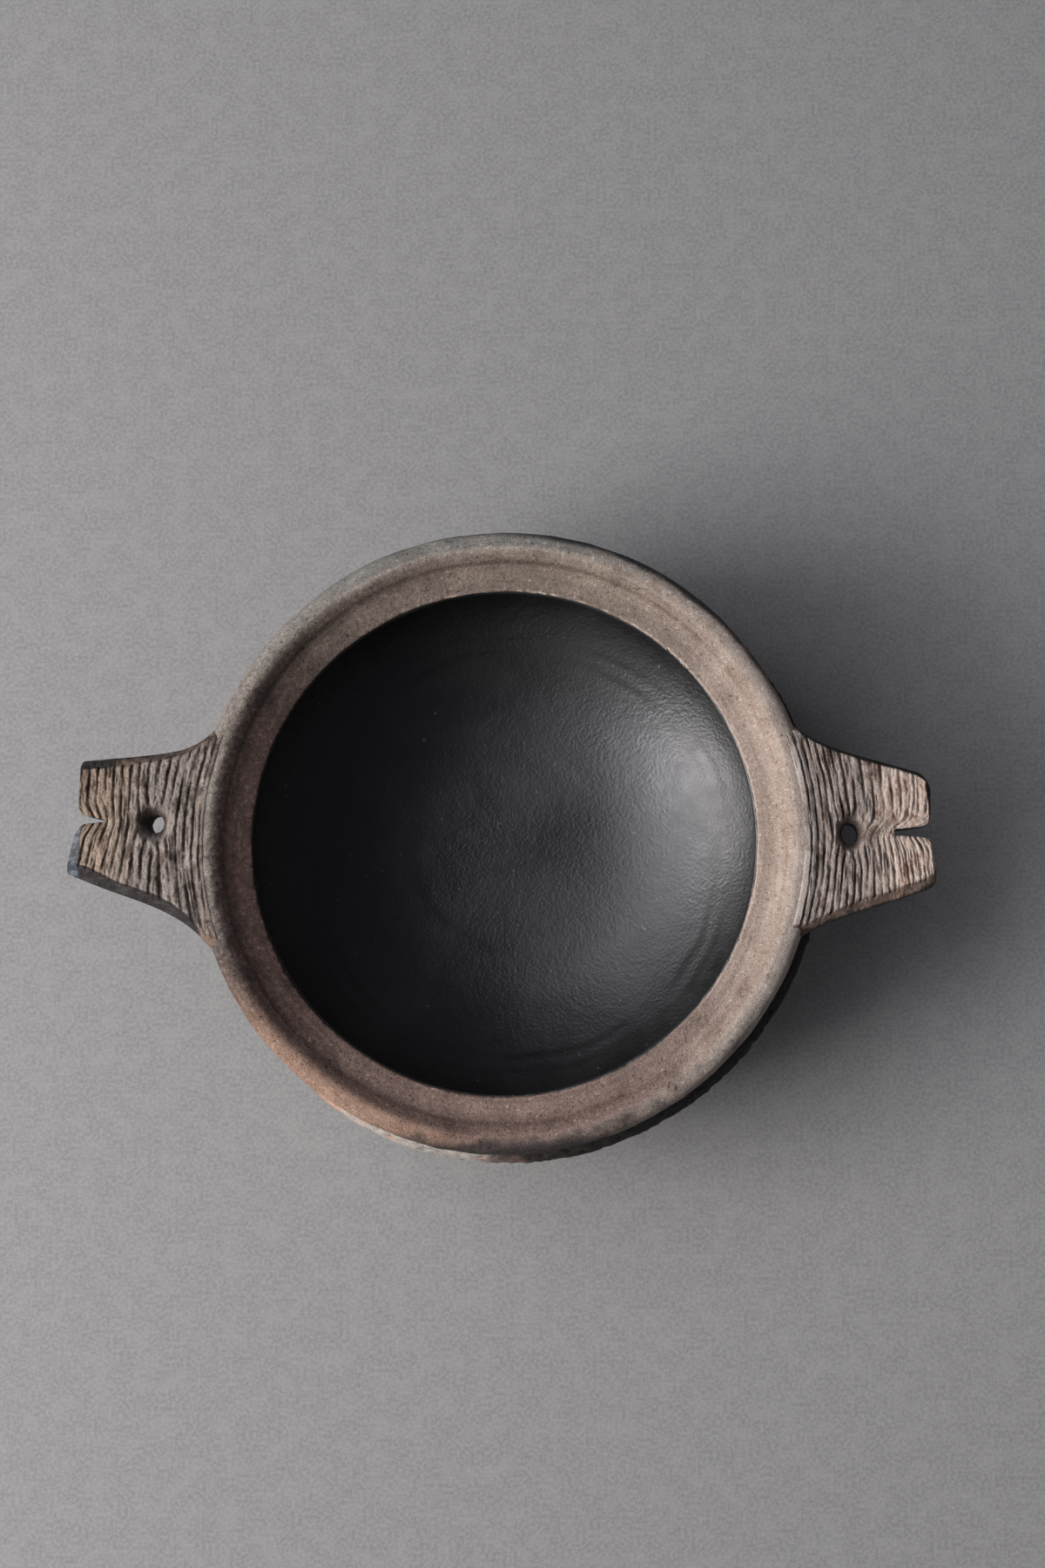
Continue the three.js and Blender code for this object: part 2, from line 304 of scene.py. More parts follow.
# %% Swell the bowl and make it
SWELL = 0.8
SWELL_WAY = -106
SWELL_SPREAD = 20
SUNK = 1.5
SUNK_WAY = -150
SUNK_SPREAD = 25
NECK_FADE = 15.0
AIRED_WAY = -106
AIRED_SPREAD = 42
AIRED_LEVELS = (12.0, 48.0)

swollen = SWELL * fan(bowl_grid.angle, SWELL_WAY, SWELL_SPREAD)
swollen = swollen - SUNK * fan(bowl_grid.angle, SUNK_WAY, SUNK_SPREAD)
swollen = swollen * is_outside * ease(bowl_grid.level, 0.0, BELLY_HEIGHT)
swollen = swollen * ease(NECK[1] - bowl_grid.level, 0.0, NECK_FADE)
bowl_grid.points += bowl_grid.normals * (height + swollen)[..., None]
aired = fan(bowl_grid.angle, AIRED_WAY, AIRED_SPREAD) * ease(bowl_grid.level, *AIRED_LEVELS)
bowl = clay_mesh("bowl_clay", [(bowl_grid.points, False, True)], {
    "hollow": [np.clip(-height / ROUGH, 0, 1)], "aired": [aired]})
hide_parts("base_dish", "belly_wall")

# %% [markdown]
# ## Rim collar
# The rim is a thick coil, pinched up into a lip and pressed down inside into a flat seat for a lid. It could
# be a ring pulled into shape, but a drawn section gives the lip and the seat their true widths. It has close
# points where it turns sharply, and is turned like the bowl.

# %% Draw the rim's section
LIP_WIDTH = 12.0
SEAT_WIDTH = 11.0
SEAT_DROP = 3.5
SEAT_THICK = 3.5
CREST_IN = 7.5
CREST_DROP = 0.4
BULGE_DROP = 11.5
HEM_IN = 1.6
HEM_DROP = 22.4
FILLET = 5.5
LIP_SPARE = 0.7
NOSE = 0.9

rim = RIM - LIP_SPARE
crest = (RIM - CREST_IN, TOP - CREST_DROP)
seat_height = TOP - SEAT_DROP
edge = RIM - LIP_WIDTH - SEAT_WIDTH
heel = (edge + SEAT_WIDTH - FILLET, seat_height)
hem = (rim - HEM_IN, TOP - HEM_DROP)
bulge = (rim, TOP - BULGE_DROP)
lip_outside = np.vstack([
    bezier(hem, (rim - 0.2, TOP - 20), (rim, TOP - 16), bulge),
    bezier(bulge, (rim, TOP - 3.4), (crest[0] + 5.3, crest[1]), crest)[1:],
])
lip_inside = bezier(crest, (crest[0] - 1.6, crest[1]), (heel[0] + 4.5, heel[1]), heel)
nose_top = (edge + 0.8, seat_height)
nose_foot = (edge, seat_height - NOSE)
nose = bezier(nose_top, (edge + 0.3, seat_height), (edge, seat_height - 0.3), nose_foot)
under = [nose_foot, (edge, seat_height - SEAT_THICK), (NECK[0] - 7.3, NECK[1] - 5.3),
         (NECK[0], NECK[1] + 0.3), (hem[0] - 2.2, hem[1] - 1.2), hem]
rim_section = np.vstack([evenly(path, spacing)[:-1] for path, spacing in (
    (lip_outside, 0.7), (lip_inside, 0.45), ((heel, nose_top), 0.5), (nose, 0.25), (under, 2.0))])
print("rim section has", len(rim_section), "points")

# %% [markdown]
# Heights go on in the order in which the potter made them. A wet leather wiped round the rim left long fine
# streaks, sand stands out of the wiped clay, and a stick drawn round the foot of the lip left two lines. The
# streaks come from a noise that is narrow along the section and long round the rim.

# %% Wiping streaks and tool lines
RIM_COLUMNS = 1000
WIPE_WIDTH = 1.5
WIPE_LENGTH = 35.0
WIPE_DEPTH = 0.08
SAND_SIZE = 1.5
SAND_HEIGHT = 0.10
DENT_SIZE = 10.0
DENT_HEIGHT = 0.25
# Radius, sway, width and depth of each line in mm, then the middle and the spread of its fan in degrees.
STICK_LINES = ((107.7, 0.6, 0.7, 0.6, 100, 55), (107.0, 0.3, 0.9, 0.25, -75, 45))

rim_grid = turned(rim_section, RIM_COLUMNS)
shown = (rim_grid.level > seat_height - 1.2) | (rim_grid.radius > RIM - 5)
run = np.linalg.norm(np.diff(rim_section, axis=0, prepend=rim_section[:1]), axis=1)
down_section = np.cumsum(run)[:, None] / WIPE_WIDTH
round_rim = np.moveaxis(rim_grid.unit * RIM / WIPE_LENGTH, -1, 0)
wipe_path = np.stack(np.broadcast_arrays(down_section, *round_rim), axis=-1)
streaks = grain(wipe_path, 1.0, 3, seed=4)
height = WIPE_DEPTH * streaks + SAND_HEIGHT * grain(rim_grid.points, SAND_SIZE, 2, seed=5)
height += DENT_HEIGHT * grain(rim_grid.points, DENT_SIZE, 2, seed=6)
stick = np.zeros_like(height)
for line, sway, width, depth, middle, spread in STICK_LINES:
    drawn = hump(rim_grid.radius - sway * np.cos(rim_grid.angle), line, width)
    drawn = drawn * (rim_grid.level > seat_height - 0.3) * (rim_grid.radius < crest[0])
    stick += depth * drawn * (0.08 + fan(rim_grid.angle, middle, spread))
height -= stick * (0.8 + 0.6 * grain(rim_grid.points, 30.0, 1, seed=7))
rim_grid.points += rim_grid.normals * (height * shown)[..., None]
print(f"stick lines are up to {stick.max():.1f} mm deep")

# %% [markdown]
# The coil itself wavers and sits a little off centre, so the lip is then shifted outwards by direction. The
# seat's inner edge is worn, with chips at places drawn from a fixed seed, and rubbed pale where it is proud,
# with a painted highlight along it that is strongest towards the far right.

# %% Uneven lip
OFF_CENTRE = 1.5
OFF_CENTRE_WAY = math.radians(110)
LIP_WAVER = 0.35
LIP_DIP = 0.35


def lip_bulge(angle):
    """How far the lip stands out beyond a true circle in a direction."""
    return OFF_CENTRE * (0.5 + 0.5 * np.cos(angle - OFF_CENTRE_WAY))


ring = np.dstack([rim_grid.unit * RIM, np.zeros(rim_grid.unit.shape[:2])])
on_lip = ease(rim_grid.radius, heel[0], rim)
shift = lip_bulge(rim_grid.angle) + LIP_WAVER * grain(ring, 50.0, 1, seed=8)
rim_grid.points[..., :2] += rim_grid.unit * (shift * on_lip)[..., None]
lowered = LIP_DIP - LIP_DIP * grain(ring, 70.0, 1, seed=9)
rim_grid.points[..., 2] -= lowered * ease(rim_grid.level, seat_height + 1, TOP)
print(f"lip shifts by {shift.min():.1f} to {shift.max():.1f} mm")

# %% Worn seat edge
CHIPS = 60
CHIP_WIDTH = (0.5, 1.3)
CHIP_DEPTH = (0.1, 0.35)
EDGE_SHIFT = 0.5
EDGE_SHIFT_WAY = math.radians(-40)
EDGE_ROUND = 1.2
PALE_EDGE_WIDTH = 0.55
PALE_EDGE_FAN = (50, 65)

dice = np.random.default_rng(11)
worn = 0.2 * grain(ring, 12.0, 2, seed=10) + 0.06 * grain(ring, 2.4, 2, seed=11)
worn = worn + EDGE_SHIFT * np.cos(rim_grid.angle[:1] - EDGE_SHIFT_WAY)
chip = np.zeros_like(worn)
for _ in range(CHIPS):
    place, width, depth = dice.uniform(-np.pi, np.pi), dice.uniform(*CHIP_WIDTH), dice.uniform(*CHIP_DEPTH)
    chip += depth * hump(np.angle(np.exp(1j * (rim_grid.angle[:1] - place))) * edge, 0, width)
at_edge = hump(np.hypot(rim_grid.radius - edge, rim_grid.level - seat_height), 0, EDGE_ROUND) * shown
rim_grid.points[..., :2] += rim_grid.unit * ((worn + chip) * at_edge)[..., None]
rim_grid.points[..., 2] -= chip * at_edge
# Pale along the seat's inner edge: wear on the chips and proud places, and a painted highlight that is
# strongest towards the far right.
from_arris = np.hypot(rim_grid.radius - edge - 0.35, rim_grid.level - seat_height + 0.1)
worn_and_highlit_edge = hump(from_arris, 0, PALE_EDGE_WIDTH) * shown
worn_and_highlit_edge = worn_and_highlit_edge * np.clip(0.35 + 1.2 * grain(ring, 3.5, 2, seed=12) + 2.0 * chip, 0, 1)
worn_and_highlit_edge = worn_and_highlit_edge * (0.15 + 0.85 * fan(rim_grid.angle, *PALE_EDGE_FAN))
print("seat edge has", CHIPS, "chips")

# %% [markdown]
# Smoke, ash and heat reached the rim unevenly, so they are stored as marks too: soot on the outer edge of the
# far side, smoke on the near slope, a pale bloom of ash almost all the way round, a cool grey at the back,
# and a toasted patch at the near left. Painted shade at the foot of the lip is stored with the stick lines.
# Fans of direction place them on the clay itself, so they hold from every side.

# %% Make the rim
# Each fan has its middle and its width in degrees, and its most.
SOOT_FANS = ((58, 40, 1.0), (-95, 22, 0.5))
SMOKE_FANS = ((-82, 32, 0.65), (-40, 20, 0.35))
ASH_FANS = ((108, 55, 0.75), (-4, 46, 0.9), (-55, 30, 0.3), (180, 24, 0.5))
LIP_FOOT_SHADE_FANS = ((-112, 42, 0.45), (138, 30, 0.45))
TOAST_FAN = (-121, 30)
COOL_FAN = (100, 45)
LIP_FOOT_SHADE_RADIUS = 108.8
LIP_FOOT_SHADE_WIDTH = 3.4

outer_slope = ease(rim_grid.radius, RIM - 12.0, RIM - 5.0) * ease(rim_grid.level, TOP - 21.0, TOP - 11.0)
outer_edge = ease(rim_grid.radius, RIM - 7.0, RIM - 1.5) * ease(rim_grid.level, TOP - 24.0, TOP - 14.0)
sooty = outer_edge * fans(rim_grid.angle, SOOT_FANS) + outer_slope * fans(rim_grid.angle, SMOKE_FANS)
# Painted shade at the foot of the lip: a little all round, deepest towards the near left and the far left.
lip_foot_shade = 0.3 + fans(rim_grid.angle, LIP_FOOT_SHADE_FANS)
lip_foot_shade = lip_foot_shade * hump(rim_grid.radius, LIP_FOOT_SHADE_RADIUS, LIP_FOOT_SHADE_WIDTH) * shown
collar = clay_mesh("rim_clay", [(rim_grid.points, True, True)], {
    "hollow": [np.clip(stick * 1.2 + lip_foot_shade, 0, 1)],
    "wear_and_highlight": [worn_and_highlit_edge],
    "soot": [sooty],
    "ash": [outer_slope * np.clip(fans(rim_grid.angle, ASH_FANS), 0, 1)],
    "toast": [outer_slope * fan(rim_grid.angle, *TOAST_FAN)],
    "cool": [ease(outer_slope, 0.6, 1.0) * fan(rim_grid.angle, *COOL_FAN)],
    "wiped": [0.5 + 0.5 * streaks]})
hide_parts("rim_collar")

# %% [markdown]
# ## Slip lining
# The inside was brushed with fine slip and rubbed with a pebble until it shone. It could be a colour on the
# bowl, but the coat has an edge that shows: it wraps up over the seat's inner edge and ends there in a ragged
# line. So it is a mesh of its own, which follows the bowl's section at the depth of the wall.

# %% Draw the lining's section
COAT = 1.0
LUTING = 0.3
CREASE_ROUNDS = 300
COAT_STEP = 1.15
COAT_BACK_STEP = 5.0

coat_back = outside - (WALL + LUTING) * outward(outside)
coat_front = outside - (WALL + LUTING + COAT) * outward(outside)
coat_back[0] = (0, coat_back[1][1])
coat_front[0] = (0, coat_front[1][1])
both_sides = np.vstack([coat_front[:0:-1] * (-1, 1), coat_front])
coat_front = softened(both_sides, CREASE_ROUNDS)[len(coat_front) - 1:]
coat_lip = (edge - 0.05, seat_height - NOSE)
behind_seat = [(edge + 1.2, seat_height - SEAT_THICK), (edge + 1.2, seat_height - 1)]
under_seat = (edge - 0.75, seat_height - 3)
coat_outside = evenly(np.vstack([coat_back, behind_seat]), COAT_BACK_STEP)
coat_inside = evenly(np.vstack([
    coat_front,
    bezier(coat_front[-1], (edge + 2.4, seat_height - 8), (edge - 0.7, seat_height - 6), under_seat),
    bezier(under_seat, (edge - 0.75, seat_height - 2), (edge - 0.6, seat_height - 1.2), coat_lip),
]), COAT_STEP)[::-1]
print("lining section has", len(coat_outside) + len(coat_inside), "points")

# %% [markdown]
# The pebble left soft facets and a few shallow rings, which come and go round the bowl. They are only tenths
# of a millimetre high, but a satin surface shows them in its sheen.

# %% Burnish the lining and make it
COAT_COLUMNS = 680
# Radius, width and depth of each ring in mm.
RINGS = ((41.0, 2.0, 0.1), (63.0, 3.0, 0.08), (84.0, 1.2, 0.2), (90.0, 1.0, 0.12))
RING_WANDER = 2.0
LIP_FADE = 4.0

coat_grid = turned(np.vstack([coat_outside, coat_inside]), COAT_COLUMNS)
is_inside = np.arange(len(coat_grid.points))[:, None] >= len(coat_outside)
height = 0.22 * grain(coat_grid.points, 36.0, 1, seed=13) + 0.03 * grain(coat_grid.points, 7.0, 2, seed=14)
height += 0.035 * grain(coat_grid.points, 2.2, 2, seed=15)
wander = RING_WANDER * grain(coat_grid.points, 30.0, 2, seed=16)
faint = ease(grain(coat_grid.points, 45.0, 1, seed=19), -0.3, 0.3)
for ring_radius, width, depth in RINGS:
    away = coat_grid.radius - ring_radius - wander
    height += depth * faint * np.tanh(away / width) * hump(away, 0, 3 * width)
below_edge = ease(coat_lip[1] - coat_grid.level, 0.0, LIP_FADE)
coat_grid.points += coat_grid.normals * (height * is_inside * below_edge)[..., None]
ragged = np.minimum(0.5 * grain(coat_grid.points, 5.0, 3, seed=17), 0.25)
coat_grid.points[..., 2] += ragged * is_inside * (1 - below_edge)
lining = clay_mesh("slip_coat", [(coat_grid.points, False, True)], {})
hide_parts("slip_lining")

# %% [markdown]
# ## Lugs
# Each lug is a flat slab of clay, cut to a flaring outline, pressed on to the rim and combed across while
# wet. A stick was pushed through it, and the tip was split with a knife. A boolean cut would break up the
# comb lines, so each lug is laid out as two halves whose rows run across it like the comb did. Between the
# halves, the rows part round the hole and the split.
# The two lugs differ, so each has its own values, in millimetres and degrees. A pair holds the value of the
# half ahead, turning left, and then of the half behind, apart from slit_ends, which holds the split's half
# widths at its inner end and its mouth. Soot and ash say how much of each lies on a flank, a tip or an end,
# and the painted shade down the flank walls starts from that soot.

# %% What differs between the lugs
RIGHT_LUG = SimpleNamespace(
    angle=1.0, reach=43.4, skew=(0.0, 0.08), tip=(21.8, 20.6), widen=(12.8, 13.3), fillet=(7.0, 4.5),
    fillet_run=(8.0, 10.0), corner=(5.5, 4.0), bevel=(2.0, 5.0), end_bevel=(2.0, 1.8), soot=(1.0, 0.2),
    tip_soot=(0.0, 0.15), end_soot=(1.0, 0.35), ash=(0.0, 0.0), hole_out=12.6, hole_stretch=1.25,
    slit=14.4, slit_ends=(1.0, 2.4), root_pitch=2.35, pitch=(3.3, 2.3), fade=0.5, mouth=6.4, waver=0.16,
    crumble=0.35, seed=21)
LEFT_LUG = SimpleNamespace(
    angle=176.9, reach=46.1, skew=(0.17, 0.02), tip=(21.0, 23.0), widen=(14.0, 6.0), fillet=(12.0, 9.5),
    fillet_run=(7.5, 5.5), corner=(2.2, 1.6), bevel=(5.6, 4.2), end_bevel=(6.4, 1.0), soot=(0.9, 0.55),
    tip_soot=(0.1, 0.6), end_soot=(0.5, 0.9), ash=(1.0, 0.0), hole_out=15.4, hole_stretch=1.1,
    slit=11.5, slit_ends=(0.3, 2.1), root_pitch=3.0, pitch=(3.2, 3.3), fade=0.1, mouth=7.6, waver=0.22,
    crumble=0.7, seed=31)
print(f"right lug reaches {RIGHT_LUG.reach} mm and left lug {LEFT_LUG.reach} mm from the rim")

# %% [markdown]
# A row keeps one distance from the rim near the root, where the comb followed the rim, and straightens
# towards the tip. Across a row, points run from the middle, or from the edge of the hole or split, out to the
# flank. In the helpers below, k is 0 for the half ahead and 1 for the half behind.

# %% Lay out half a lug
BORE = 3.2
ROOT_START = RIM - CREST_IN
ROW = 0.28
COLUMNS = 56
STRAIGHT_FROM = RIM + 2
STRAIGHT_BY = RIM + 34
SLIT_FLARE = 0.8
SLIT_ROUND = 1.4


def lug_layout(lug, k):
    """Plan of one half of a lug: places, and distances to its flank, end, split and hole."""
    tip = RIM + lug.reach
    row = np.append(np.arange(ROOT_START, tip - ROW / 2, ROW), tip)[:, None]
    out = np.clip((row - RIM) / lug.reach, 0, 1)
    root_fillet = lug.fillet[k] * np.exp(-out * lug.reach / lug.fillet_run[k])
    half = lug.tip[k] + lug.widen[k] * (1 - out) + root_fillet
    into_corner = np.clip(row - (tip - lug.corner[k]), 0, lug.corner[k])
    half = half - (lug.corner[k] - np.sqrt(lug.corner[k] ** 2 - into_corner**2))
    hole = RIM + lug.hole_out
    split = (row - (tip - lug.slit)) / lug.slit
    inner, mouth = lug.slit_ends
    slit = inner + (mouth - inner) * split + SLIT_FLARE * np.exp((row - tip) / 1.2)
    bore = lug.hole_stretch * np.sqrt(np.clip(BORE**2 - (row - hole) ** 2, 0, None))
    gap = np.where(split > 0, slit, bore)
    v = gap + np.linspace(0, 1, COLUMNS) * (half - gap)
    straight = ease(row, STRAIGHT_FROM, STRAIGHT_BY)
    u = (1 - straight) * np.sqrt(row**2 - v**2) + straight * (row + lug.skew[k] * v)
    u = u - SLIT_ROUND * np.exp((gap - v) / 2.0) * np.exp((row - tip) / 2.5)
    side = (1, -1)[k]
    radius = np.hypot(u, v) - lip_bulge(math.radians(lug.angle))
    end_bevel = lug.end_bevel[k] * (0.4 + 0.6 * v / lug.tip[k])
    plan = np.stack([u, v * side, np.full_like(u, lug.seed)], axis=-1)
    return SimpleNamespace(
        u=u, v=v * side, plan=plan, gap=gap[:, 0], out=out + 0 * v, row=row + 0 * v, radius=radius, across=v,
        flank=half - v, end=tip - row + 0 * v, end_bevel=end_bevel, split=split + 0 * v, to_slit=v - gap,
        to_hole=np.hypot(u - hole, v / lug.hole_stretch), past_hole=u - hole)


print(f"a lug's rows lie {ROW} mm apart, with {COLUMNS} points across each half")

# %% [markdown]
# The comb pressed unevenly: its lines waver, fade and double, they were dragged towards the split when the
# knife came through, and they flow round the hole. So the grooves come from a wave along the rows, whose
# phase and depth are both disturbed by noise.

# %% Comb half a lug
COMB_DEPTH = 1.05
CRACK_DEPTH = 0.45
ROOT_COMB = 11.0
DRAG = 3.0
SWIRL = 0.9


def comb_lines(lug, plot, bevel):
    """Depth of the grooves, and of the finer cracks between them, from 0 to about 1 on half a lug."""
    drag = DRAG * hump(plot.across, 0, 4.5) * ease(plot.split, -0.8, 0.7)
    swirl = SWIRL * hump(plot.to_hole, 6, 3) * np.sign(plot.past_hole)
    waver = 0.5 * grain(plot.plan, 17.0, 2, seed=lug.seed)
    waver = waver + lug.waver * grain(plot.plan, 2.4, 3, seed=lug.seed + 1)
    along = plot.row - RIM + drag + swirl + waver
    ahead = ease(plot.v, -3, 6)
    near_root = np.minimum(along, ROOT_COMB) / lug.root_pitch
    cycles = [near_root + np.maximum(along - ROOT_COMB, 0) / pitch for pitch in lug.pitch]
    cycle = ahead * cycles[0] + (1 - ahead) * cycles[1]
    tooth = (0.5 + 0.5 * np.cos(2 * np.pi * cycle)) ** 4
    beside = np.stack([cycle * 1.1, plot.plan[..., 1] / 12.0, plot.plan[..., 2]], axis=-1)
    press = np.clip(0.72 + 1.0 * grain(beside, 1.0, 2, seed=lug.seed + 2), 0.08, 1.4)
    press = press * (1 - lug.fade * ease(plot.out, 0.3, 0.8))
    between = np.stack([cycle * 3.4, plot.plan[..., 1] / 8.0, plot.plan[..., 2]], axis=-1)
    scratch = grain(between, 1.0, 2, seed=18)
    reached = ease(plot.flank, bevel * 0.6, bevel * 0.6 + 1.0) * ease(plot.radius, RIM - 6.5, RIM - 3.5)
    reached = reached * ease(plot.end, 0.6 * plot.end_bevel, 0.6 * plot.end_bevel + 1.2)
    reached = reached * ease(plot.to_hole, lug.mouth - 2.0, lug.mouth + 0.4)
    crumb = lug.crumble * ease(grain(plot.plan, 1.4, 2, seed=lug.seed + 9), 0.15, 0.5)
    crumb = crumb * (1 - 0.7 * plot.out)
    return reached * press * tooth, reached * np.maximum(ease(-scratch, 0.15, 0.5), crumb)


print(f"comb lines are about {COMB_DEPTH} mm deep")

# %% [markdown]
# Soot settled on the cut edges of the lugs, a little way beside them and round their corners. It runs on
# close to where a lug meets the rim, so that it also paints the shadow line along the flank there, and stops
# at the rim.

# %% Soot and painted shade on half a lug
def lug_soot(lug, k, plot, bevel, on_bevel, on_end):
    """Soot and painted shade from 0 to 1 on the top of half a lug."""
    edge_soot = np.clip(lug.soot[k] + lug.tip_soot[k] * ease(plot.out, 0.6, 0.85), 0, 1)
    soot = np.maximum(edge_soot * ease(on_bevel, 0.0, 0.25), lug.end_soot[k] * ease(on_end, 0.05, 0.4))
    soot = np.maximum(soot, 0.4 * edge_soot * np.exp(-np.clip(plot.flank - bevel, 0, None) / 2.5))
    soot = np.maximum(soot, 0.8 * ease(on_bevel, 0.55, 1.0))
    near_corner = 1 - ease(plot.flank + plot.end, 5.0, 15.0)
    rounding = near_corner * (1 - ease(np.minimum(plot.flank, plot.end), 1.2, 3.4))
    soot = np.maximum(soot, lug.end_soot[k] * rounding)
    return soot * ease(plot.radius, RIM - 3, RIM + 3)


print("soot on the flanks, ahead and behind:", RIGHT_LUG.soot, "right and", LEFT_LUG.soot, "left")

# %% [markdown]
# The top's height starts from the flat slab. It drops at the bevelled edges and into the worn mouth of the
# hole, the grooves are cut in, and near the root it rises to run smoothly on to the lip before it dips under
# the rim's skin.

# %% Shape the top and the underside
ROOT_THICK = 17.0
TIP_THICK = 13.0
TIP_SLOPE = 1.6
BEVEL_DROP = 4.4
END_DROP = 3.2
SLIT_DROP = 0.8
MOUTH_DEPTH = 5.5
SMEAR = 2.6


def lip_height(radius):
    """Height of the lip's outside at a radius, falling away steeply beyond its widest point."""
    upper = lip_outside[lip_outside[:, 1] >= bulge[1]][::-1]
    on_top = np.interp(radius, upper[:, 0], upper[:, 1])
    return np.where(radius < rim, on_top, bulge[1] - 20 * (radius - rim))


def half_lug(lug, k):
    """Plan, top and underside of one half of a lug, with its surface marks."""
    plot = lug_layout(lug, k)
    bevel = lug.bevel[k] * (1 + 0.25 * grain(plot.plan, 14.0, 2, seed=lug.seed + 3))
    on_bevel = np.clip(1 - plot.flank / bevel, 0, 1)
    on_end = np.clip(1 - plot.end / plot.end_bevel, 0, 1)
    beside_slit = np.where(plot.split > -0.1, np.clip(1 - plot.to_slit / 1.6, 0, 1), 0)
    drop = np.maximum(BEVEL_DROP * on_bevel**1.15, END_DROP * on_end**1.2) + SLIT_DROP * beside_slit**2
    mouth = lug.mouth * (1 + 0.18 * grain(plot.plan, 4.0, 2, seed=lug.seed + 8))
    in_mouth = np.clip((mouth - plot.to_hole) / (mouth - BORE), 0, 1)
    drop += MOUTH_DEPTH * in_mouth**1.3
    groove, crack = comb_lines(lug, plot, bevel)
    slab = LUG_TOP - 0.4 - TIP_SLOPE * plot.out - drop
    joint = lip_height(plot.radius) + ease(plot.flank, 0, 5) - 1.1
    smear = SMEAR * ease(plot.flank, 0, 6)
    torn = 0.32 * grain(plot.plan, 1.5, 3, seed=lug.seed + 4)
    torn = torn + 0.35 * grain(plot.plan, 8.0, 2, seed=lug.seed + 5)
    torn = torn + 0.5 * grain(plot.plan * (0.3, 1, 1), 2.0, 3, seed=lug.seed + 7) * ease(on_bevel, 0, 0.3)
    torn = torn * ease(plot.radius, RIM - 5, RIM + 1)
    top = (slab + joint + np.sqrt((slab - joint) ** 2 + smear**2)) / 2
    top = top - COMB_DEPTH * groove - CRACK_DEPTH * crack + torn
    top = np.minimum(top, TOP - 0.5) - 1.5 * (1 - ease(plot.radius, RIM - 7.0, RIM - 5.0))
    lift = 3.0 * np.clip(1 - plot.flank / 4, 0, 1) ** 2 + 2.6 * np.clip(1 - plot.end / 3.5, 0, 1) ** 2
    bottom = LUG_TOP + 0.3 - ROOT_THICK + (ROOT_THICK - TIP_THICK) * plot.out + lift
    bottom += 0.3 * grain(plot.plan, 10.0, 2, seed=lug.seed + 6)
    # The hollow mark darkens the grooves with dirt and painted shade, and paints shade into the hole's mouth.
    return plot, top, bottom, {
        "hollow": np.clip(groove + 0.5 * crack + 0.8 * in_mouth, 0, 1),
        "soot": lug_soot(lug, k, plot, bevel, on_bevel, on_end),
        "cut": ease(on_bevel, 0.0, 0.3),
        "ash": lug.ash[k] * ease(on_end, 0.02, 0.25),
        "tip": ease(plot.out, 0.2, 0.9),
        "root": 1 - ease(plot.radius, RIM - 5, RIM + 4)}


print(f"lugs are about {ROOT_THICK} mm thick at the root and {TIP_THICK} mm at the tip")

# %% [markdown]
# The tops and undersides are joined by walls: along the flank, across the tip, down through the hole and the
# split, and a hidden one inside the rim. Each wall is a grid that runs down from one row of points to the
# row below it.

# %% Make the lugs
WALL_ROWS = 9
# Painted shade down the walls of the hole and the split, then soot on the undersides.
OPENING_WALL_SHADE = 0.6
WALL_HOLLOW = 0.5
UNDER_SOOT = 0.8
LUG_MARKS = ("hollow", "soot", "cut", "ash", "tip", "root")


def wall_between(upper, lower):
    """A sheet of points that runs down from one row of points to another."""
    t = np.linspace(0, 1, WALL_ROWS)[:, None, None]
    return upper[None] * (1 - t) + lower[None] * t


def lug_piece(lug, node, name):
    """One lug, made of two halves with their walls, in place of its plain solid."""
    turn = math.radians(lug.angle)
    sheets = []
    marks = {mark: [] for mark in LUG_MARKS}

    def lay(points, **values):
        sheets.append((points, False, False))
        for mark, found in marks.items():
            found.append(np.broadcast_to(values.get(mark, 0.0), points.shape[:2]))

    for k in (0, 1):
        plot, top, bottom, mark = half_lug(lug, k)
        x = plot.u * math.cos(turn) - plot.v * math.sin(turn)
        y = plot.u * math.sin(turn) + plot.v * math.cos(turn)
        upper, lower = np.stack([x, y, top], axis=-1), np.stack([x, y, bottom], axis=-1)
        lay(upper, **mark)
        lay(lower, soot=UNDER_SOOT)
        # The flank walls darken to black towards their foot: painted shade.
        down = np.linspace(0, 1, WALL_ROWS)[:, None]
        flank_soot = mark["soot"][:, -1] * (1 - down) + down
        lay(wall_between(upper[:, -1], lower[:, -1]), soot=flank_soot, tip=mark["tip"][:, -1], cut=1.0)
        lay(wall_between(upper[-1], lower[-1]), soot=lug.end_soot[k], ash=lug.ash[k], tip=1.0, cut=1.0)
        lay(wall_between(upper[0], lower[0]))
        is_open = np.flatnonzero(plot.gap > 0)
        for opening in np.split(is_open, np.flatnonzero(np.diff(is_open) > 1) + 1):
            rows = np.arange(opening[0] - 1, min(opening[-1] + 2, len(plot.gap)))
            # Painted shade down the walls of the hole and the split.
            lay(wall_between(upper[rows, 0], lower[rows, 0]), soot=OPENING_WALL_SHADE, hollow=WALL_HOLLOW)
    piece = clay_mesh(name, sheets, marks)
    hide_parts(node)
    return piece


right_lug = lug_piece(RIGHT_LUG, "right_lug", "right_lug_clay")
left_lug = lug_piece(LEFT_LUG, "left_lug", "left_lug_clay")

# %% [markdown]
# ## Mixing finishes
# Fired clay is a rough mineral surface, so every finish here is one principled shader. What makes it look
# real is variation at several sizes: smoke clouds as wide as a hand, patches as wide as a thumb, and sand
# grains. A finish starts from a body colour, and layers of colour go over it where a guide value, such as a
# noise or a mark, runs high. Layers in soft light only lighten or darken what lies below.

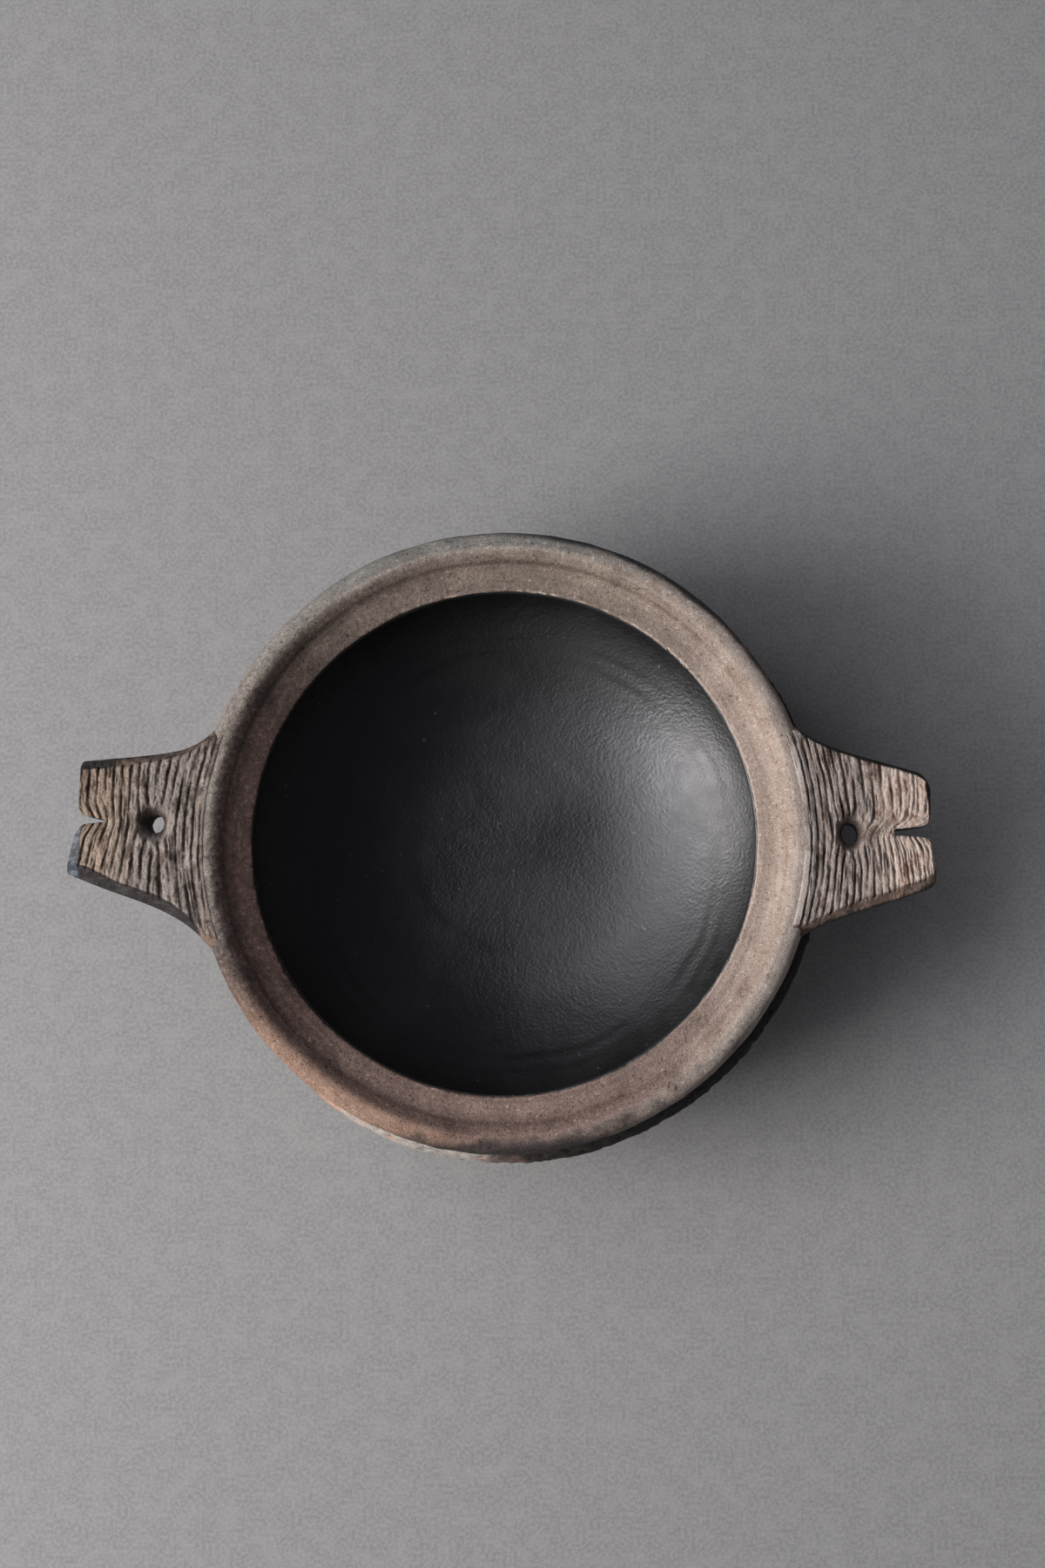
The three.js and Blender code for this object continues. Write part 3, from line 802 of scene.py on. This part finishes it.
# %% Finish helpers
def colour(code):
    """A linear colour from an sRGB hex code."""
    parts = [int(code[i:i + 2], 16) / 255 for i in (1, 3, 5)]
    linear = [c / 12.92 if c <= 0.04045 else ((c + 0.055) / 1.055) ** 2.4 for c in parts]
    return (*linear, 1.0)


def per_mm(size):
    """Texture scale that gives a pattern of this many millimetres."""
    return 1000.0 / size


def add(tree, kind, inputs=None, out=0, **settings):
    """Add a node, set its properties, feed its inputs from sockets or plain values, and return one output."""
    made = tree.nodes.new("ShaderNode" + kind)
    for name, value in settings.items():
        setattr(made, name, value)
    for key, value in (inputs or {}).items():
        if isinstance(value, bpy.types.NodeSocket):
            tree.links.new(value, made.inputs[key])
        else:
            made.inputs[key].default_value = value
    return made.outputs[out] if made.outputs else None


def layered(tree, body, layers, blend="MIX"):
    """Lay colours over a body, each as its guide value runs from a start to an end, up to its most."""
    for guide, start, end, most, code in layers:
        share = add(tree, "MapRange", {0: guide, 1: start, 2: end, 4: most}, interpolation_type="SMOOTHSTEP")
        body = add(tree, "Mix", {0: share, 6: body, 7: colour(code)}, 2, data_type="RGBA", blend_type=blend)
    return body


def finish(name, pieces):
    """A new material on pieces: its node tree and the pieces' own coordinates."""
    material = bpy.data.materials.new(name)
    material.use_nodes = True
    material.node_tree.nodes.clear()
    for piece in pieces:
        piece.data.materials.append(material)
    print("mixing", name)
    return material.node_tree, add(material.node_tree, "TexCoord", out="Object")


print("middle grey is", round(colour("#808080")[0], 3), "in linear light")

# %% [markdown]
# ## Wiped earthenware
# The rim is low-fired, sandy brown earthenware, wiped while wet. It gives the eye a warm matt brown with fine
# pale and dark grains. The side that lay in the embers stayed dark, and the other side burned to a pale tan.
# One noise through a colour ramp would look like plaster, so the dark-to-pale drift, the marks of the fire
# and the grain are separate layers.

# %% Patterns and marks of the wiped earthenware
# Low-fired clay is rough and no metal, and its open surface reflects less than a solid one.
FIRED_CLAY = {"Roughness": 0.85, "Metallic": 0.0, "IOR": 1.5, "Specular IOR Level": 0.3}
# Most sand in such clay is finer than this, and is drawn this coarse because it wouldn't show otherwise.
SAND_GRAIN = 0.55
PALE_WAY = (0.99, 0.14, 0.0)

tree, place = finish("wiped_sandy_earthenware", [collar])
across = add(tree, "VectorMath", {0: place, 1: PALE_WAY}, "Value", operation="DOT_PRODUCT")
along = add(tree, "SeparateXYZ", {0: place}, "Y")
cloud, patch, fleck, sand, speck = (
    add(tree, "TexNoise", {"Vector": place, "Scale": per_mm(size), "Detail": detail})
    for size, detail in ((50, 3.0), (12, 4.0), (2, 3.0), (SAND_GRAIN, 2.0), (1.3, 0.0)))
hollow, soot, ash, cool, toast, wear_and_highlight, wiped = (
    add(tree, "Attribute", out="Fac", attribute_name=mark)
    for mark in ("hollow", "soot", "ash", "cool", "toast", "wear_and_highlight", "wiped"))
drift = add(tree, "Math", {0: cloud, 1: 60 * MM, 2: across}, operation="MULTIPLY_ADD")
powder = add(tree, "Math", {0: fleck, 1: 0.5, 2: ash}, operation="MULTIPLY_ADD")
smudge = add(tree, "Math", {0: patch, 1: 1.2, 2: soot}, operation="MULTIPLY_ADD")
cold = add(tree, "Math", {0: patch, 1: 0.9, 2: cool}, operation="MULTIPLY_ADD")

# %% Colours of the wiped earthenware
body = layered(tree, colour("#352623"), [
    (drift, -0.06, 0.045, 1.0, "#74665e"),
    (drift, 0.05, 0.15, 1.0, "#baa79b"),
    (along, -0.05, -0.12, 0.6, "#90786f"),
    (along, 0.04, 0.11, 0.25, "#94887a"),
    (toast, 0.1, 0.9, 0.8, "#9c7f6e"),
    (powder, 0.2, 1.2, 0.75, "#b4aba2"),
    (cold, 0.55, 1.3, 0.75, "#757572"),
    (smudge, 0.95, 1.5, 0.9, "#2c2a2b"),
])
body = layered(tree, body, [
    (patch, 0.52, 0.75, 0.35, "#ffffff"),
    (patch, 0.48, 0.25, 0.4, "#303030"),
    (wiped, 0.52, 0.8, 0.12, "#ffffff"),
    (wiped, 0.48, 0.2, 0.16, "#101010"),
    (fleck, 0.52, 0.72, 0.15, "#ffffff"),
    (fleck, 0.48, 0.28, 0.2, "#101010"),
    (sand, 0.52, 0.68, 0.45, "#ffffff"),
    (sand, 0.48, 0.32, 0.45, "#000000"),
    (speck, 0.72, 0.78, 0.7, "#ffffff"),
    (speck, 0.27, 0.22, 0.6, "#000000"),
    # The stick lines and the foot of the lip are darkened here, the foot of the lip as painted shade.
    (hollow, 0.0, 1.0, 0.6, "#000000"),
], "SOFT_LIGHT")
# Pale seat edge: wear, with a painted highlight strongest towards the far right.
body = layered(tree, body, [(wear_and_highlight, 0.25, 0.8, 0.7, "#c9b9ab")])
bumpy = add(tree, "Bump", {"Height": sand, "Strength": 0.7, "Distance": 0.35 * MM})
shader = add(tree, "BsdfPrincipled", {"Base Color": body, "Normal": bumpy, **FIRED_CLAY})
add(tree, "OutputMaterial", {"Surface": shader})
print("wiped earthenware has", len(tree.nodes), "nodes")

# %% [markdown]
# ## Combed earthenware
# The lugs are the same clay, but combed and handled. The ridges are rubbed paler, and the knife-cut edges
# went dark in the fire, with painted shade down the flank walls and along the root. Dirt and painted shade
# darken the grooves, and painted shade darkens the mouth of the hole and the walls of the hole and the split.
# The grooves could be found again by a sharpness node, but the marks already say how deep each point lies.
# Streaks along the ridges come from a noise that is stretched across a lug, and knife drags on the cut edges
# from one that is stretched along it.

# %% Patterns and marks of the combed earthenware
RIDGE = (2.8, 16.0, 16.0)
KNIFE = (14.0, 1.8, 1.8)

tree, place = finish("combed_sandy_earthenware", [right_lug, left_lug])
across = add(tree, "SeparateXYZ", {0: place}, "X")
stretched = add(tree, "VectorMath", {0: place, 1: [per_mm(size) for size in RIDGE]}, operation="MULTIPLY")
streak = add(tree, "TexNoise", {"Vector": stretched, "Scale": 1.0, "Detail": 3.0})
pulled = add(tree, "VectorMath", {0: place, 1: [per_mm(size) for size in KNIFE]}, operation="MULTIPLY")
scrape = add(tree, "TexNoise", {"Vector": pulled, "Scale": 1.0, "Detail": 3.0})
patch = add(tree, "TexNoise", {"Vector": place, "Scale": per_mm(8), "Detail": 5.0})
sand = add(tree, "TexNoise", {"Vector": place, "Scale": per_mm(SAND_GRAIN), "Detail": 2.0})
hollow, soot, cut, ash, tip, root = (
    add(tree, "Attribute", out="Fac", attribute_name=mark) for mark in LUG_MARKS)
pale_tip = add(tree, "Math", {0: across, 1: tip}, operation="MULTIPLY")
pale_root = add(tree, "Math", {0: across, 1: root}, operation="MULTIPLY")
smudge = add(tree, "Math", {0: patch, 1: 1.0, 2: soot}, operation="MULTIPLY_ADD")
powder = add(tree, "Math", {0: scrape, 1: ash}, operation="MULTIPLY")
scraped = add(tree, "Math", {0: scrape, 1: cut}, operation="MULTIPLY")

# %% Colours of the combed earthenware
body = layered(tree, colour("#8d837d"), [
    (tip, 0.1, 0.9, 1.0, "#988678"),
    (across, 0.0, 0.12, 0.7, "#ab9d95"),
    (pale_tip, 0.02, 0.12, 1.0, "#ccb8ab"),
    (root, 0.1, 0.9, 0.85, "#8a7f77"),
    (pale_root, 0.02, 0.1, 0.9, "#bcb0a9"),
    (cut, 0.1, 0.9, 0.85, "#705b4d"),
])
body = layered(tree, body, [
    (streak, 0.52, 0.72, 0.6, "#ffffff"),
    (streak, 0.48, 0.28, 0.8, "#101010"),
    (patch, 0.53, 0.65, 0.8, "#101010"),
    (sand, 0.52, 0.68, 0.5, "#ffffff"),
    (sand, 0.48, 0.32, 0.5, "#000000"),
], "SOFT_LIGHT")
body = layered(tree, body, [
    # Dirt and painted shade in the grooves, and painted shade in the hole's mouth and down the hole and split
    # walls.
    (hollow, 0.12, 0.7, 0.8, "#2b221d"),
    # Soot, with painted shade down the flank walls, along the root and down the hole and split walls.
    (smudge, 0.82, 1.28, 0.92, "#232326"),
    (scraped, 0.52, 0.66, 0.2, "#74706c"),
    (ash, 0.05, 0.4, 0.85, "#3c4149"),
    (powder, 0.42, 0.62, 0.7, "#767c86"),
])
bumpy = add(tree, "Bump", {"Height": sand, "Strength": 0.8, "Distance": 0.4 * MM})
shader = add(tree, "BsdfPrincipled", {"Base Color": body, "Normal": bumpy, **FIRED_CLAY})
add(tree, "OutputMaterial", {"Surface": shader})
print("combed earthenware has", len(tree.nodes), "nodes")

# %% [markdown]
# ## Fire-clouded earthenware
# The bowl stood in the fuel, so its brown outside is blotched: dark where smoke hung, and pink and pale grey
# in the one patch that air reached. Its right half, away from the lamps, is painted black as shade. Even
# blotches all over would look like polished stone, so the pink and the pale grey follow the mark of that
# patch.

# %% Mix the fire clouds
tree, place = finish("fire_clouded_earthenware", [bowl])
across = add(tree, "SeparateXYZ", {0: place}, "X")
cloud, patch, sand = (
    add(tree, "TexNoise", {"Vector": place, "Scale": per_mm(size), "Detail": detail})
    for size, detail in ((60, 4.0), (18, 5.0), (SAND_GRAIN, 2.0)))
hollow, aired = (add(tree, "Attribute", out="Fac", attribute_name=mark) for mark in ("hollow", "aired"))
pale = add(tree, "Math", {0: patch, 1: aired}, operation="MULTIPLY")
flash = add(tree, "Math", {0: patch, 1: 0.7, 2: aired}, operation="MULTIPLY_ADD")
right_half_shade = add(tree, "Math", {0: cloud, 1: 100 * MM, 2: across}, operation="MULTIPLY_ADD")
body = layered(tree, colour("#75604f"), [
    (cloud, 0.42, 0.62, 0.85, "#4d423d"),
    (patch, 0.5, 0.65, 0.5, "#857467"),
    (flash, 0.75, 1.2, 1.0, "#c5a091"),
    (pale, 0.33, 0.49, 1.0, "#b4aea7"),
    (patch, 0.6, 0.7, 0.7, "#5a5552"),
    # Painted shade: the right half of the belly, away from the lamps, goes black.
    (right_half_shade, 0.041, 0.062, 0.95, "#1d1d20"),
])
body = layered(tree, body, [
    (sand, 0.54, 0.72, 0.6, "#ffffff"),
    (sand, 0.46, 0.30, 0.7, "#101010"),
], "SOFT_LIGHT")
body = layered(tree, body, [(hollow, 0.4, 1.0, 0.65, "#292422")])
bumpy = add(tree, "Bump", {"Height": sand, "Strength": 0.8, "Distance": 0.4 * MM})
shader = add(tree, "BsdfPrincipled", {"Base Color": body, "Normal": bumpy, **FIRED_CLAY})
add(tree, "OutputMaterial", {"Surface": shader})
print("fire-clouded earthenware has", len(tree.nodes), "nodes")

# %% [markdown]
# ## Burnished black slip
# Fine slip rubbed with a pebble lies almost closed and smooth, so it is the one satin finish on the pot. A
# clear coat over a dull body would look like a glaze, which this isn't. So it is one surface whose roughness
# changes, because the strokes and the steam of cooking left some parts duller.

# %% Mix the burnished slip
# A rubbed slip's grains are too fine to show, so the dimples between the strokes are drawn this coarse.
DIMPLE = 1.3

tree, place = finish("burnished_black_slip", [lining])
cloud, stroke, grit, speck = (
    add(tree, "TexNoise", {"Vector": place, "Scale": per_mm(size), "Detail": detail})
    for size, detail in ((40, 4.0), (7, 4.0), (DIMPLE, 3.0), (2.5, 1.0)))
dull = add(tree, "Math", {0: stroke, 1: 0.7, 2: cloud}, operation="MULTIPLY_ADD")
body = layered(tree, colour("#1f1f1f"), [
    (cloud, 0.4, 0.7, 1.0, "#2c2c2b"),
    (speck, 0.76, 0.8, 0.5, "#8d8983"),
])
satin = add(tree, "MapRange", {0: dull, 1: 0.6, 2: 1.1, 3: 0.3, 4: 0.43})
bumpy = add(tree, "Bump", {"Height": grit, "Strength": 0.55, "Distance": 0.3 * MM})
shader = add(tree, "BsdfPrincipled", {
    "Base Color": body, "Roughness": satin, "Metallic": 0.0, "IOR": 1.6, "Specular IOR Level": 0.62,
    "Specular Tint": colour("#f6f7fd"), "Normal": bumpy})
add(tree, "OutputMaterial", {"Surface": shader})
print("burnished slip has", len(tree.nodes), "nodes")

# %% [markdown]
# ## Floor and light
# The pot stands on a sheet of pale grey paper. One lamp above it would flatten the comb lines, so a large
# soft one stands low on the left, where the lip shades its own seat. A wider one hangs higher on the same
# side, so that the black inside shows a broad sheen, and a weak one in front lifts the near side.

# %% Lay the floor
FLOOR_SIDE = 4.0
# Paper fibres are too fine to show, so they are drawn this coarse.
FIBRE = 1.5

half_floor = FLOOR_SIDE / 2
floor_corners = [(x * half_floor, y * half_floor, 0) for x, y in ((-1, -1), (1, -1), (1, 1), (-1, 1))]
floor_mesh = bpy.data.meshes.new("floor")
floor_mesh.from_pydata(floor_corners, [], [(0, 1, 2, 3)])
floor = bpy.data.objects.new("floor", floor_mesh)
bpy.context.scene.collection.objects.link(floor)
tree, place = finish("pale_grey_paper", [floor])
fibre, mottle = (
    add(tree, "TexNoise", {"Vector": place, "Scale": per_mm(size), "Detail": detail})
    for size, detail in ((FIBRE, 4.0), (9, 3.0)))
sheet = layered(tree, colour("#8c8c8d"), [
    (fibre, 0.3, 0.7, 0.8, "#a3a3a4"),
    (mottle, 0.4, 0.7, 0.4, "#a2a2a2"),
])
shader = add(tree, "BsdfPrincipled", {"Base Color": sheet, "Roughness": 0.9, "Specular IOR Level": 0.2})
add(tree, "OutputMaterial", {"Surface": shader})

# %% Set the lamps
# Place in metres, width and height in metres, power in watts, and tint.
LAMPS = {
    "window_lamp": ((-1.5, -0.32, 0.95), (1.1, 1.1), 33.5, "#fffaf4"),
    "high_lamp": ((-1.15, 0.15, 1.85), (2.3, 1.1), 22.5, "#f8f8ff"),
    "near_lamp": ((-0.8, -1.5, 0.8), (1.2, 1.2), 3.0, "#fff6ee"),
}
LAMP_AIM = Vector((0, 0, 0.05))
ROOM_TINT = "#cbcad6"
ROOM_LIGHT = 0.125

for name, (stand, sides, power, tint) in LAMPS.items():
    data = bpy.data.lights.new(name, "AREA")
    data.shape = "RECTANGLE"
    data.size, data.size_y = sides
    data.energy = power
    data.color = colour(tint)[:3]
    lamp = bpy.data.objects.new(name, data)
    lamp.location = stand
    lamp.rotation_euler = (LAMP_AIM - Vector(stand)).to_track_quat("-Z", "Y").to_euler()
    bpy.context.scene.collection.objects.link(lamp)
world = bpy.data.worlds.new("studio")
bpy.context.scene.world = world
world.use_nodes = True
background = world.node_tree.nodes["Background"]
background.inputs["Color"].default_value = colour(ROOM_TINT)
background.inputs["Strength"].default_value = ROOM_LIGHT
bpy.context.scene.view_settings.view_transform = "Standard"
print("lamps:", ", ".join(LAMPS))
